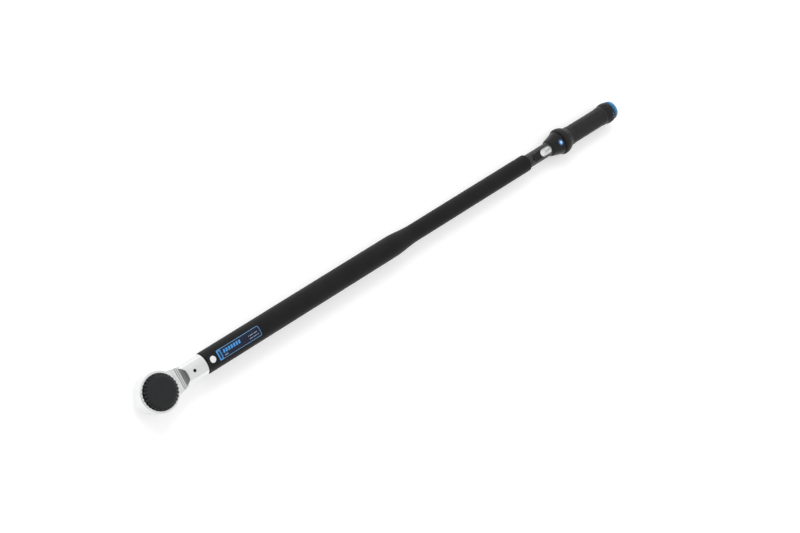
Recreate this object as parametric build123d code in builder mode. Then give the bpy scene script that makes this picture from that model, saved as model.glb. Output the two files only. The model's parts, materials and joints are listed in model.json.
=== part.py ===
from build123d import *
import os
from math import atan, cos, degrees, pi, radians, sin

# A long click-type torque wrench, built as it comes apart on a bench.
# Frame: +X runs along the tube from the drive to the grip, +Z is the drive axis with the
# selector dial on top, and the square points down. The origin is where the two axes cross.

# ---------------------------------------------------------------- driving dimensions, mm
square_size = 19.05  # 3/4 in drive
square_length = 22.0
head_radius = 36.3
head_top = 20.0
head_bottom = -19.0
dial_radius = 31.1
dial_top = 30.3
neck_flat = 9.0  # height of the flat neck above the tube axis
shank_radius = 19.2
shank_end = 99.3

pivot_x = 111.5
pivot_radius = 6.0
lever_radius = 12.0
lever_end = 190.0

tube_start = 101.0
tube_end = 890.0
front_radius = 20.4
front_bore = 17.0
rear_radius = 16.6
rear_bore = 13.3
swage_start = 535.0
swage_end = 590.0

neck_radius = 13.4
neck_bore = 9.0
neck_start = 845.0
neck_end = 1066.0
flat_height = 10.4  # the flat that carries the window
window_x = 935.8
window_length = 29.0
window_width = 15.0

cone_start = 953.0
cone_end = 978.3
cone_front_radius = 16.4
cone_rear_radius = 23.3

grip_radius = 18.8
collar_start = 979.3
collar_radius = 26.2
collar_end = 1001.0
bulge_start = 1104.0
bulge_end = 1124.0
bulge_radius = 20.9
knob_end = 1135.0
knob_gap = 0.6

spindle_radius = 6.0

running_gap = 0.05  # radial clearance of a running fit
loose_gap = 0.25  # clearance between neighbours that move apart

os.makedirs("parts", exist_ok=True)


def save(builder, name):
    """Label one finished piece and write its STEP file."""
    builder.part.label = name
    export_step(builder.part, f"parts/{name}.step")


def rod(start, end, radius, mode=Mode.ADD):
    """A round bar along the tube axis between two stations."""
    with Locations(Location(((start + end) / 2, 0, 0), (0, 90, 0))):
        Cylinder(radius, end - start, mode=mode)


def disc(low, high, radius, mode=Mode.ADD):
    """A round plate about the drive axis between two heights."""
    with Locations((0, 0, (low + high) / 2)):
        Cylinder(radius, high - low, mode=mode)


def block(x_span, y_span, z_span, mode=Mode.ADD):
    """A box given by its low and high value along each axis."""
    spans = (x_span, y_span, z_span)
    with Locations(tuple((low + high) / 2 for low, high in spans)):
        Box(*(high - low for low, high in spans), mode=mode)


def upright(x, y, low, high, radius, mode=Mode.ADD):
    """A round bar parallel to the drive axis."""
    with Locations((x, y, (low + high) / 2)):
        Cylinder(radius, high - low, mode=mode)


def sideways(x, low, high, radius, mode=Mode.ADD):
    """A round bar across the tube, between two values of Y."""
    with Locations(Location((x, (low + high) / 2, 0), (90, 0, 0))):
        Cylinder(radius, high - low, mode=mode)


# ---------------------------------------------------------------- head
pocket_floor = -9.0
gear_radius = 20.0
gear_depth = 1.9
gear_teeth = 36
gear_top = 11.0
gear_pocket_radius = gear_radius + 0.6
journal_radius = 15.5
pawl_pocket_radius = 31.0
pawl_pocket_half_angle = 56.0
lid_bottom = 12.0
lid_top = 15.0
lid_radius = 31.4
clip_top = 16.2
dial_bottom = 16.6
dial_recess_radius = dial_radius + 0.5
pawl_pivot_x = 25.0
pawl_pin_radius = 2.0
lever_pin_x = 73.0
lever_pin_radius = 3.0
facet_start = 51.0
facet_end = 58.6
facet_top = 17.6
under_flat = -13.5  # flat underside of the neck
groove_stations = (45.3, 48.6)
groove_width = 1.4
groove_depth = 1.3

with BuildPart() as head_body:
    disc(head_bottom, head_top, head_radius)
    fillet(head_body.edges().group_by(Axis.Z)[-1], radius=2.2)
    fillet(head_body.edges().group_by(Axis.Z)[0], radius=6.0)
    # flat neck: its sides run in from the ring to the shank with large hollow corners
    with BuildSketch(Plane.XY.offset(under_flat)) as neck_plan:
        Circle(head_radius - 0.3)
        with BuildLine():
            Polyline(
                (0, -30),
                (facet_start + 4, -shank_radius + 0.8),
                (facet_start + 4, shank_radius - 0.8),
                (0, 30),
                close=True,
            )
        make_face()
        inner_corners = [v for v in neck_plan.vertices() if 10 < v.X < facet_start]
        fillet(inner_corners, radius=16.0)
    extrude(amount=neck_flat - under_flat)
    rod(facet_start - 1.0, shank_end, shank_radius)
    # sloped facets above and below, where the round shank drops to the flat neck
    for side, low_edge in ((1, neck_flat), (-1, under_flat)):
        clear = side * (shank_radius + 2)
        with BuildSketch(Plane.XZ):
            with BuildLine():
                Polyline(
                    (facet_start - 6, low_edge),
                    (facet_start, low_edge),
                    (facet_end, side * facet_top),
                    (facet_end + 0.5, clear),
                    (facet_start - 6, clear),
                    close=True,
                )
            make_face()
        extrude(amount=shank_radius + 5, both=True, mode=Mode.SUBTRACT)
    for station in groove_stations:
        block(
            (station - groove_width / 2, station + groove_width / 2),
            (-24, 24),
            (neck_flat - groove_depth, neck_flat + 1),
            Mode.SUBTRACT,
        )
    chamfer(head_body.edges().filter_by(GeomType.CIRCLE).sort_by(Axis.X)[-1], length=1.0)
    # ratchet pocket, open at the top
    disc(pocket_floor, head_top + 1, gear_pocket_radius, Mode.SUBTRACT)
    disc(head_bottom - 1, pocket_floor + 1, journal_radius + running_gap, Mode.SUBTRACT)
    with BuildSketch(Plane.XY.offset(pocket_floor + 1.5)):
        Circle(pawl_pocket_radius)
        with BuildLine():
            corner = (
                2 * head_radius * cos(radians(pawl_pocket_half_angle)),
                2 * head_radius * sin(radians(pawl_pocket_half_angle)),
            )
            Polyline((0, 0), corner, (corner[0], -corner[1]), close=True)
        make_face(mode=Mode.INTERSECT)
    extrude(amount=lid_bottom - pocket_floor - 1.5, mode=Mode.SUBTRACT)
    disc(lid_bottom, head_top + 1, lid_radius + 0.1, Mode.SUBTRACT)
    disc(lid_top, clip_top + 0.1, lid_radius + 1.2, Mode.SUBTRACT)
    disc(clip_top, head_top + 1, dial_recess_radius, Mode.SUBTRACT)
    top_circles = head_body.edges().filter_by(GeomType.CIRCLE).group_by(Axis.Z)[-1]
    chamfer(top_circles.sort_by(SortBy.RADIUS)[0], length=0.5)
    upright(pawl_pivot_x, 0, pocket_floor - 4, lid_bottom, pawl_pin_radius, Mode.SUBTRACT)
    # socket for the lever, and the cross hole for its pin
    rod(facet_end + 2, shank_end + 1, lever_radius, Mode.SUBTRACT)
    upright(lever_pin_x, 0, -25, 25, lever_pin_radius, Mode.SUBTRACT)
save(head_body, "head_body")

boss_radius = 16.0
boss_half_width = 13.0
tail_half_width = 8.5
tail_half_height = 10.0
boss_end = 127.0

with BuildPart() as lever_bar:
    rod(facet_end + 2.5, shank_end, lever_radius)
    rod(shank_end, boss_end, boss_radius)
    for side in (1, -1):
        block(
            (shank_end - 1, boss_end + 1),
            tuple(sorted((side * boss_half_width, side * (boss_radius + 1)))),
            (-20, 20),
            Mode.SUBTRACT,
        )
    block(
        (boss_end - 2, lever_end),
        (-tail_half_width, tail_half_width),
        (-tail_half_height, tail_half_height),
    )
    upright(pivot_x, 0, -20, 20, pivot_radius + running_gap, Mode.SUBTRACT)
    upright(lever_pin_x, 0, -20, 20, lever_pin_radius, Mode.SUBTRACT)
    chamfer(lever_bar.edges().group_by(Axis.X)[-1], length=1.0)
save(lever_bar, "lever_bar")

with BuildPart() as lever_pin:
    upright(lever_pin_x, 0, -18.4, 18.4, lever_pin_radius - 0.02)
    upright(lever_pin_x, 0, -19, 19, lever_pin_radius - 1.0, Mode.SUBTRACT)
    # the slot that lets a spring pin close up
    block((lever_pin_x, lever_pin_x + 5), (-0.4, 0.4), (-19, 19), Mode.SUBTRACT)
save(lever_pin, "lever_pin")

dial_hub_radius = 8.0
pin_orbit = 29.3
shift_pin_radius = 1.2
shift_half_angle = 20.0

with BuildPart() as cover_plate:
    disc(lid_bottom, lid_top, lid_radius)
    disc(lid_bottom - 1, lid_top + 1, dial_hub_radius + running_gap, Mode.SUBTRACT)
    # curved slot for the pin under the dial
    with BuildSketch(Plane.XY.offset(lid_bottom - 1)):
        SlotArc(
            CenterArc((0, 0), pin_orbit, -shift_half_angle - 3, 2 * shift_half_angle + 6),
            height=2 * shift_pin_radius + 0.8,
        )
    extrude(amount=lid_top - lid_bottom + 2, mode=Mode.SUBTRACT)
    upright(pawl_pivot_x, 0, lid_bottom - 1, lid_top + 1, pawl_pin_radius, Mode.SUBTRACT)
save(cover_plate, "cover_plate")

with BuildPart() as cover_circlip:
    disc(lid_top + 0.1, clip_top, lid_radius + 1.1)
    disc(lid_top, clip_top + 1, lid_radius - 0.7, Mode.SUBTRACT)
    block((-40, -28), (-5, 5), (lid_top, clip_top + 1), Mode.SUBTRACT)
save(cover_circlip, "cover_circlip")

with BuildPart() as pawl_pin:
    upright(pawl_pivot_x, 0, pocket_floor - 4, lid_top, pawl_pin_radius - 0.02)
save(pawl_pin, "pawl_pin")

washer_thickness = 0.8
with BuildPart() as thrust_washer:
    disc(pocket_floor, pocket_floor + washer_thickness, gear_radius)
    disc(pocket_floor - 1, 0, journal_radius + 0.3, Mode.SUBTRACT)
save(thrust_washer, "thrust_washer")

# ---------------------------------------------------------------- drive
wheel_bottom = pocket_floor + washer_thickness + 0.1
square_tip = head_bottom - 1.5 - square_length
ball_height = square_tip + 11.0
ball_radius = 2.75
ball_stand_out = 0.9
flange_radius = 14.0
flange_bottom = 7.6
flange_top = 9.0


def wheel_outline(growth=0.0):
    """Corner points of the toothed wheel, grown outwards by a clearance."""
    points = []
    for tooth in range(gear_teeth):
        for part, radius in ((0.0, gear_radius), (0.5, gear_radius - gear_depth)):
            angle = 2 * pi * (tooth + part) / gear_teeth
            points.append(((radius + growth) * cos(angle), (radius + growth) * sin(angle)))
    return points


with BuildPart() as ratchet_wheel:
    with BuildSketch(Plane.XY.offset(wheel_bottom)):
        with BuildLine():
            Polyline(*wheel_outline(), close=True)
        make_face()
    extrude(amount=gear_top - wheel_bottom)
    disc(head_bottom - 1.5, wheel_bottom + 1, journal_radius)
    block(
        (-square_size / 2, square_size / 2),
        (-square_size / 2, square_size / 2),
        (head_bottom - 3, gear_top + 1),
        Mode.SUBTRACT,
    )
    disc(flange_bottom, gear_top + 1, flange_radius + 0.2, Mode.SUBTRACT)
    disc(flange_top + 0.1, flange_top + 1.2, flange_radius + 0.9, Mode.SUBTRACT)
save(ratchet_wheel, "ratchet_wheel")

with BuildPart() as drive_square:
    with BuildSketch(Plane.XY.offset(square_tip)):
        RectangleRounded(square_size, square_size, 1.2)
    extrude(amount=flange_bottom - square_tip)
    chamfer(drive_square.edges().group_by(Axis.Z)[0], length=1.2)
    disc(flange_bottom, flange_top, flange_radius)
    # bore for the retaining ball and its spring, in the side towards the front
    with Locations(Location((-square_size / 2 + 6.5, 0, ball_height), (0, 90, 0))):
        Cylinder(ball_radius + running_gap, 13.0, mode=Mode.SUBTRACT)
save(drive_square, "drive_square")

with BuildPart() as drive_clip:
    disc(flange_top + 0.1, flange_top + 1.1, flange_radius + 0.8)
    disc(flange_top, gear_top, flange_radius - 2.4, Mode.SUBTRACT)
    block((8, 16), (-2, 2), (flange_top, gear_top), Mode.SUBTRACT)
save(drive_clip, "drive_clip")

ball_x = -square_size / 2 + ball_radius - ball_stand_out
with BuildPart() as retaining_ball:
    with Locations((ball_x, 0, ball_height)):
        Sphere(ball_radius)
save(retaining_ball, "retaining_ball")

ball_spring_start = ball_x + ball_radius + 0.1
ball_spring_end = -square_size / 2 + 12.9
with BuildPart() as ball_spring:
    wire = 0.35
    with BuildLine():
        coil = Helix(
            pitch=1.3,
            height=ball_spring_end - ball_spring_start - 2 * wire,
            radius=ball_radius - 0.9,
            center=(ball_spring_start + wire, 0, ball_height),
            direction=(1, 0, 0),
        )
    with BuildSketch(Plane(coil @ 0, z_dir=coil % 0)):
        Circle(wire)
    sweep(is_frenet=True)
save(ball_spring, "ball_spring")

# ---------------------------------------------------------------- direction change
dial_flutes = 29
flute_radius = 1.75
flute_depth = 1.5
dial_face_radius = 21.5
dial_brow = (24.3, dial_top - 0.7)  # radius and height where the slope meets the face
dial_shoulder = dial_bottom + 9.4
scoop_middle = (28.9, 28.5)  # radius and height of the tool that carries a flute up the slope
scoop_slope = 38.0  # degrees

with BuildPart() as selector_dial:
    with BuildSketch(Plane.XZ):
        with BuildLine():
            Polyline(
                (0, dial_bottom),
                (dial_radius, dial_bottom),
                (dial_radius, dial_shoulder),
                (dial_radius - 0.8, dial_shoulder + 1.0),
                dial_brow,
                (dial_face_radius, dial_top),
                (0, dial_top),
                close=True,
            )
        make_face()
    revolve(axis=Axis.Z)
    disc(lid_bottom - 1.6, dial_bottom + 1, dial_hub_radius)
    disc(lid_bottom - 1.2, lid_bottom - 0.4, dial_hub_radius + 1, Mode.SUBTRACT)
    disc(lid_bottom - 1.3, lid_bottom - 0.3, dial_hub_radius - 1.2)
    # scooped flutes up the rim, running out on the slope
    with PolarLocations(dial_radius + flute_radius - flute_depth, dial_flutes):
        with Locations((0, 0, dial_top)):
            Cylinder(flute_radius, 2 * (dial_top - dial_bottom) + 2, mode=Mode.SUBTRACT)
    with PolarLocations(scoop_middle[0], dial_flutes):
        with Locations((0, 0, scoop_middle[1])):
            Cylinder(flute_radius, 9.0, rotation=(0, scoop_slope - 90, 0), mode=Mode.SUBTRACT)
    upright(
        pin_orbit * cos(radians(shift_half_angle)),
        pin_orbit * sin(radians(shift_half_angle)),
        dial_bottom - 1,
        dial_bottom + 2.5,
        shift_pin_radius,
        Mode.SUBTRACT,
    )
save(selector_dial, "selector_dial")

with BuildPart() as selector_pin:
    upright(
        pin_orbit * cos(radians(shift_half_angle)),
        pin_orbit * sin(radians(shift_half_angle)),
        -2.0,
        dial_bottom + 2.5,
        shift_pin_radius - 0.01,
    )
save(selector_pin, "selector_pin")

with BuildPart() as selector_clip:
    disc(lid_bottom - 1.1, lid_bottom - 0.5, dial_hub_radius + 2)
    disc(lid_bottom - 2, lid_bottom, dial_hub_radius - 1.1, Mode.SUBTRACT)
    block((4, 12), (-2, 2), (lid_bottom - 2, lid_bottom), Mode.SUBTRACT)
save(selector_clip, "selector_clip")

pawl_rock = 6.0  # the pawl leans this much either side of its middle position, degrees
pawl_back_radius = 27.6
pawl_front_radius = 22.2
pawl_half_angle = 44.0
tooth_band = (30.0, 42.0)  # the teeth of one end, degrees round the wheel
mesh_gap = 0.35


def sector(radius, start_angle, end_angle):
    """A pie slice about the drive axis."""
    with BuildSketch() as slice_sketch:
        with BuildLine():
            arc = CenterArc((0, 0), radius, start_angle, end_angle - start_angle)
            Line((0, 0), arc @ 0)
            Line(arc @ 1, (0, 0))
        make_face()
    return slice_sketch.sketch


with BuildSketch() as grown_wheel:
    with BuildLine():
        Polyline(*wheel_outline(mesh_gap), close=True)
    make_face()

with BuildSketch() as engaged_teeth:
    add(sector(pawl_front_radius + 1.5, *tooth_band))
    add(grown_wheel.sketch, mode=Mode.SUBTRACT)

pawl_pivot = Location((pawl_pivot_x, 0, 0))
to_rest = pawl_pivot * Location((0, 0, 0), (0, 0, pawl_rock)) * pawl_pivot.inverse()
to_middle = to_rest.inverse()

# the middle position of the pawl: an arched rocker with one group of teeth at each end
with BuildSketch() as rocker:
    add(sector(pawl_back_radius, -pawl_half_angle, pawl_half_angle))
    Circle(pawl_front_radius, mode=Mode.SUBTRACT)
    add(engaged_teeth.sketch.moved(to_middle))
    add(mirror(engaged_teeth.sketch.moved(to_middle), about=Plane.XZ))
    with Locations((pawl_pivot_x, 0)):
        Circle(pawl_pin_radius + running_gap, mode=Mode.SUBTRACT)

with BuildPart() as reversing_pawl:
    with BuildSketch(Plane.XY.offset(wheel_bottom + 2)):
        add(rocker.sketch.moved(to_rest))
    extrude(amount=gear_top - wheel_bottom - 2.5)
save(reversing_pawl, "reversing_pawl")

# ---------------------------------------------------------------- tube and trigger
mouth_chamfer = 0.8
rolled_edge = 2.4
neck_screw_x = 868.0
neck_screw_radius = 3.0

with BuildPart() as main_tube:
    with BuildSketch(Plane.XY) as tube_profile:
        with BuildLine():
            Polyline(
                (tube_start, front_bore),
                (tube_start, front_radius),
                (swage_start, front_radius),
            )
            Spline(
                (swage_start, front_radius),
                (swage_end, rear_radius),
                tangents=((1, 0), (1, 0)),
            )
            Polyline(
                (swage_end, rear_radius),
                (tube_end, rear_radius),
                (tube_end, rear_bore),
                (swage_end, rear_bore),
            )
            Spline(
                (swage_end, rear_bore),
                (swage_start, front_bore),
                tangents=((-1, 0), (-1, 0)),
            )
            Line((swage_start, front_bore), (tube_start, front_bore))
        make_face()
        outer_front = tube_profile.vertices().sort_by_distance((tube_start, front_radius))[0]
        chamfer(outer_front, length=mouth_chamfer)
        outer_rear = tube_profile.vertices().sort_by_distance((tube_end, rear_radius))[0]
        fillet(outer_rear, radius=rolled_edge)
    revolve(axis=Axis.X)
    upright(pivot_x, 0, -25, 25, pivot_radius, Mode.SUBTRACT)
    sideways(neck_screw_x, -20, 20, neck_screw_radius, Mode.SUBTRACT)
save(main_tube, "main_tube")

with BuildPart() as pivot_pin:
    upright(pivot_x, 0, -front_radius + 0.2, front_radius - 0.1, pivot_radius - 0.01)
    chamfer(pivot_pin.edges().filter_by(GeomType.CIRCLE), length=0.4)
save(pivot_pin, "pivot_pin")

label_start = 122.0
label_end = 215.0
label_half_angle = 28.0
label_thickness = 0.3

with BuildPart() as label_plate:
    with BuildSketch(Plane.YZ.offset(label_start)):
        add(sector(front_radius + label_thickness, 90 - label_half_angle, 90 + label_half_angle))
        Circle(front_radius + 0.02, mode=Mode.SUBTRACT)
    extrude(amount=label_end - label_start)
save(label_plate, "label_plate")

block_length = 14.0
block_half_width = 5.0
block_half_height = 7.0
block_start = lever_end + loose_gap
plunger_start = block_start + block_length + loose_gap
plunger_end = 250.0
spring_pilot_radius = 9.5

with BuildPart() as toggle_block:
    block(
        (block_start, block_start + block_length),
        (-block_half_width, block_half_width),
        (-block_half_height, block_half_height),
    )
save(toggle_block, "toggle_block")

with BuildPart() as plunger:
    rod(plunger_start, plunger_end, front_bore - 0.1)
    rod(plunger_end, plunger_end + 20, spring_pilot_radius)
    # grease grooves round the guide surface
    for station in (plunger_start + 12, plunger_end - 12):
        rod(station - 1.5, station + 1.5, front_bore + 1, Mode.SUBTRACT)
        rod(station - 1.6, station + 1.6, front_bore - 1.1)
save(plunger, "plunger")

seat_start = 505.0
seat_end = 517.0
spring_wire = 2.8
spring_mean_radius = 13.0
spring_turns = 19

with BuildPart() as main_spring:
    spring_height = seat_start - plunger_end - 0.4 - 2 * spring_wire
    with BuildLine():
        coil = Helix(
            pitch=spring_height / spring_turns,
            height=spring_height,
            radius=spring_mean_radius,
            center=(plunger_end + 0.2 + spring_wire, 0, 0),
            direction=(1, 0, 0),
        )
    with BuildSketch(Plane(coil @ 0, z_dir=coil % 0)):
        Circle(spring_wire)
    sweep(is_frenet=True)
save(main_spring, "main_spring")

nut_start = 850.0
nut_end = 880.0
push_radius = 8.7
strip_end = 993.0
strip_half_width = 7.5
strip_bottom = 7.4
strip_top = 9.0

with BuildPart() as spring_seat:
    rod(seat_start, seat_end, front_bore - 0.2)
    rod(seat_start - 18, seat_start, spring_pilot_radius)
    rod(seat_end - 6, seat_end + 1, push_radius, Mode.SUBTRACT)
save(spring_seat, "spring_seat")

with BuildPart() as push_tube:
    rod(seat_end - 6, nut_start, push_radius)
    rod(seat_end - 7, nut_start + 1, spindle_radius + 0.6, Mode.SUBTRACT)
save(push_tube, "push_tube")

with BuildPart() as adjusting_nut:
    rod(nut_start, nut_end, neck_bore - 0.1)
    rod(nut_start - 1, nut_end + 1, spindle_radius + running_gap, Mode.SUBTRACT)
    # seat for the scale strip
    block((nut_end - 14, nut_end + 1), (-20, 20), (strip_bottom, 20), Mode.SUBTRACT)
save(adjusting_nut, "adjusting_nut")

with BuildPart() as scale_strip:
    block((nut_end - 14, strip_end), (-strip_half_width, strip_half_width), (strip_bottom, strip_top))
save(scale_strip, "scale_strip")

# ---------------------------------------------------------------- neck and handle
bearing_start = 1030.0
plug_start = 1051.0
plug_radius = 11.2
lens_bottom = strip_top + 0.4
bezel_start = 903.0
bezel_end = 956.0
bezel_top = 12.6
bezel_half_width = 8.3
notch_start = 898.5
notch_half_width = 5.0

with BuildPart() as handle_tube:
    rod(neck_start, tube_end, rear_bore - 0.05)
    rod(tube_end, neck_end, neck_radius)
    rod(neck_start - 1, bearing_start, neck_bore, Mode.SUBTRACT)
    rod(bearing_start - 1, neck_end + 1, plug_radius, Mode.SUBTRACT)
    # channel that the scale strip slides in
    block(
        (neck_start - 1, strip_end + 4),
        (-strip_half_width - 0.3, strip_half_width + 0.3),
        (0, strip_top + 0.3),
        Mode.SUBTRACT,
    )
    # flat for the window, with a finger notch in front of the bezel
    block((bezel_start, cone_start + 8), (-20, 20), (flat_height, 20), Mode.SUBTRACT)
    block(
        (notch_start, bezel_start + 0.1),
        (-notch_half_width, notch_half_width),
        (strip_top + 1.0, 20),
        Mode.SUBTRACT,
    )
    with BuildSketch(Plane.XY.offset(5)):
        with Locations((window_x, 0)):
            SlotOverall(window_length, window_width)
    extrude(amount=20, mode=Mode.SUBTRACT)
    sideways(neck_screw_x, -20, 20, neck_screw_radius, Mode.SUBTRACT)
save(handle_tube, "handle_tube")

with BuildPart() as window_bezel:
    block((bezel_start, bezel_end), (-bezel_half_width, bezel_half_width), (flat_height, bezel_top))
    fillet(window_bezel.edges().filter_by(Axis.Z).group_by(Axis.X)[0], radius=3.0)
    chamfer(window_bezel.edges().group_by(Axis.Z)[-1], length=0.8)
    with BuildSketch(Plane.XY.offset(flat_height - 1)):
        with Locations((window_x, 0)):
            SlotOverall(window_length, window_width)
    extrude(amount=5, mode=Mode.SUBTRACT)
save(window_bezel, "window_bezel")

with BuildPart() as window_lens:
    with BuildSketch(Plane.XY.offset(lens_bottom)):
        with Locations((window_x, 0)):
            SlotOverall(window_length - 0.1, window_width - 0.1)
    extrude(amount=bezel_top + 0.3 - lens_bottom)
    fillet(window_lens.edges().group_by(Axis.Z)[-1], radius=0.8)
save(window_lens, "window_lens")

cone_slope = (cone_rear_radius - cone_front_radius) / (cone_end - cone_start)
marker_x = 971.0
marker_length = 10.2
marker_width = 13.6
marker_depth = 2.8
marker_inset = 0.2
marker_radius = cone_front_radius + cone_slope * (marker_x - cone_start)
marker_tilt = degrees(atan(cone_slope))
marker_plane = Plane(
    origin=(marker_x, 0, marker_radius),
    x_dir=(cos(radians(marker_tilt)), 0, sin(radians(marker_tilt))),
    z_dir=(-sin(radians(marker_tilt)), 0, cos(radians(marker_tilt))),
)

with BuildPart() as cone_housing:
    with BuildSketch(Plane.XY) as cone_profile:
        with BuildLine():
            Polyline(
                (cone_start - 2.4, neck_radius + 0.02),
                (cone_start - 2.4, neck_radius + 0.7),
                (cone_start, cone_front_radius),
                (cone_end, cone_rear_radius),
                (cone_end, 18.5),
                (cone_end - 8, 16.0),
                (cone_end - 8, neck_radius + 0.02),
                close=True,
            )
        make_face()
        fillet(cone_profile.vertices().sort_by_distance((cone_start, cone_front_radius))[0], radius=1.2)
        fillet(cone_profile.vertices().sort_by_distance((cone_end, cone_rear_radius))[0], radius=0.8)
    revolve(axis=Axis.X)
    block(
        (cone_start - 4, bezel_end + 0.1),
        (-bezel_half_width - 0.1, bezel_half_width + 0.1),
        (5, bezel_top + 0.05),
        Mode.SUBTRACT,
    )
    with BuildSketch(marker_plane.offset(-marker_depth)):
        Ellipse(marker_length / 2 + 0.5, marker_width / 2 + 0.5)
    extrude(amount=2 * marker_depth, mode=Mode.SUBTRACT)
save(cone_housing, "cone_housing")

# the inlay's face follows the cone, a little below it
with BuildPart() as marker_inlay:
    with BuildSketch(marker_plane.offset(-marker_depth + 0.1)):
        Ellipse(marker_length / 2, marker_width / 2)
    extrude(amount=2 * marker_depth)
    with BuildSketch(Plane.XY):
        with BuildLine():
            Polyline(
                (cone_start, 0),
                (cone_start, cone_front_radius - marker_inset),
                (cone_end, cone_rear_radius - marker_inset),
                (cone_end, 0),
                close=True,
            )
        make_face()
    revolve(axis=Axis.X, mode=Mode.INTERSECT)
save(marker_inlay, "marker_inlay")

# two set screws through the rear of the tube into the handle tube, one at each side
with BuildPart() as neck_screws:
    for side in (1, -1):
        outer_y = side * (rear_radius - 0.15)
        low, high = sorted((side * (neck_bore + 1.2), outer_y))
        sideways(neck_screw_x, low, high, neck_screw_radius - 0.01)
        with BuildSketch(Plane(origin=(neck_screw_x, outer_y, 0), z_dir=(0, side, 0))):
            RegularPolygon(1.75, 6)
        extrude(amount=-3.0, mode=Mode.SUBTRACT)
save(neck_screws, "neck_screws")

with BuildPart() as wiper_ring:
    rod(cone_end - 7.8, collar_start - 0.5, 15.8)
    rod(cone_end - 8, collar_start, neck_radius + 0.03, Mode.SUBTRACT)
save(wiper_ring, "wiper_ring")

race_thickness = 3.0
flange_start = 1036.0
flange_end = 1040.0
bearing_ball_radius = 2.2
ball_circle = 8.4
bearing_balls = 10
race_radius = plug_radius - 0.3
front_race_end = flange_end + race_thickness
rear_race_start = plug_start - race_thickness

with BuildPart() as thrust_race_front:
    rod(flange_end, front_race_end, race_radius)
    rod(flange_end - 1, front_race_end + 1, spindle_radius + 0.02, Mode.SUBTRACT)
save(thrust_race_front, "thrust_race_front")

with BuildPart() as thrust_balls:
    with Locations(Plane.YZ.offset((front_race_end + rear_race_start) / 2)):
        with PolarLocations(ball_circle, bearing_balls):
            Sphere(bearing_ball_radius)
save(thrust_balls, "thrust_balls")

with BuildPart() as thrust_race_rear:
    rod(rear_race_start, plug_start, plug_radius - 0.05)
    rod(rear_race_start - 1, plug_start + 1, spindle_radius + 0.6, Mode.SUBTRACT)
save(thrust_race_rear, "thrust_race_rear")

with BuildPart() as bearing_plug:
    rod(plug_start, neck_end, plug_radius - 0.02)
    rod(neck_end, neck_end + 3.0, neck_radius - 0.1)
    rod(plug_start - 1, neck_end + 4, spindle_radius + running_gap, Mode.SUBTRACT)
save(bearing_plug, "bearing_plug")

# ---------------------------------------------------------------- grip and lock
spindle_start = 805.0
web_start = 1088.0
web_end = 1096.0
key_size = 9.0
thread_radius = 4.0
core_bore = 14.3
core_radius = 16.4
core_start = 983.0
core_end = 1118.0
finger_inner = 10.0
finger_outer = 12.5
finger_angle = 40.0
fingers = 3

with BuildPart() as spindle:
    rod(spindle_start, web_start - 1.0, spindle_radius)
    rod(flange_start, flange_end, race_radius)
    block(
        (web_start - 1.0, web_end + 1.0),
        (-key_size / 2, key_size / 2),
        (-key_size / 2, key_size / 2),
    )
    rod(web_end + 1.0, web_end + 8.0, thread_radius)
    chamfer(spindle.edges().group_by(Axis.X)[0], length=1.0)
save(spindle, "spindle")

with BuildPart() as spindle_nut:
    with BuildSketch(Plane.YZ.offset(web_end + 1.1)):
        RegularPolygon(7.5, 6)
        Circle(thread_radius + 0.01, mode=Mode.SUBTRACT)
    extrude(amount=5.5)
save(spindle_nut, "spindle_nut")

with BuildPart() as grip_bushes:
    for start in (core_start + 1, plug_start - 1):
        rod(start, start + 12, core_bore - 0.02)
        rod(start - 1, start + 13, neck_radius + running_gap, Mode.SUBTRACT)
save(grip_bushes, "grip_bushes")

with BuildPart() as grip_core:
    rod(core_start, core_end, core_radius)
    rod(core_start - 1, web_start, core_bore, Mode.SUBTRACT)
    rod(web_end, core_end + 1, core_bore, Mode.SUBTRACT)
    block(
        (web_start - 1, web_end + 1),
        (-key_size / 2 - 0.05, key_size / 2 + 0.05),
        (-key_size / 2 - 0.05, key_size / 2 + 0.05),
        Mode.SUBTRACT,
    )
    # slots in the web that the fingers of the lock sleeve slide through
    with BuildSketch(Plane.YZ.offset(web_start - 1)):
        with PolarLocations(0, fingers):
            add(sector(finger_outer + 0.3, -finger_angle / 2 - 2, finger_angle / 2 + 2))
        Circle(finger_inner - 0.3, mode=Mode.SUBTRACT)
    extrude(amount=web_end - web_start + 2, mode=Mode.SUBTRACT)
save(grip_core, "grip_core")

collar_crest_x = 983.6
flare_radius = 20.9  # where collar and cover meet
flare_slope = -0.75
flare_length = 7.5
with BuildPart() as grip_collar:
    with BuildSketch(Plane.XY) as collar_profile:
        with BuildLine():
            Line((collar_start, neck_radius + 0.5), (collar_start, 22.6))
            ThreePointArc(
                (collar_start, 22.6),
                (collar_start + 1.3, 25.0),
                (collar_crest_x, collar_radius),
            )
            Spline(
                (collar_crest_x, collar_radius),
                (collar_crest_x + 6.4, collar_radius - 0.45),
                (collar_crest_x + 11.4, collar_radius - 2.2),
                (collar_end, flare_radius),
                tangents=((1, 0), (1, flare_slope)),
            )
            Polyline(
                (collar_end, flare_radius),
                (collar_end, core_radius + 0.02),
                (core_start, core_radius + 0.02),
                (core_start, neck_radius + 0.5),
                (collar_start, neck_radius + 0.5),
            )
        make_face()
    revolve(axis=Axis.X)
save(grip_collar, "grip_collar")

panel_depth = 0.45
panel_half_angle = 38.0
grip_panels = 4

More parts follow.
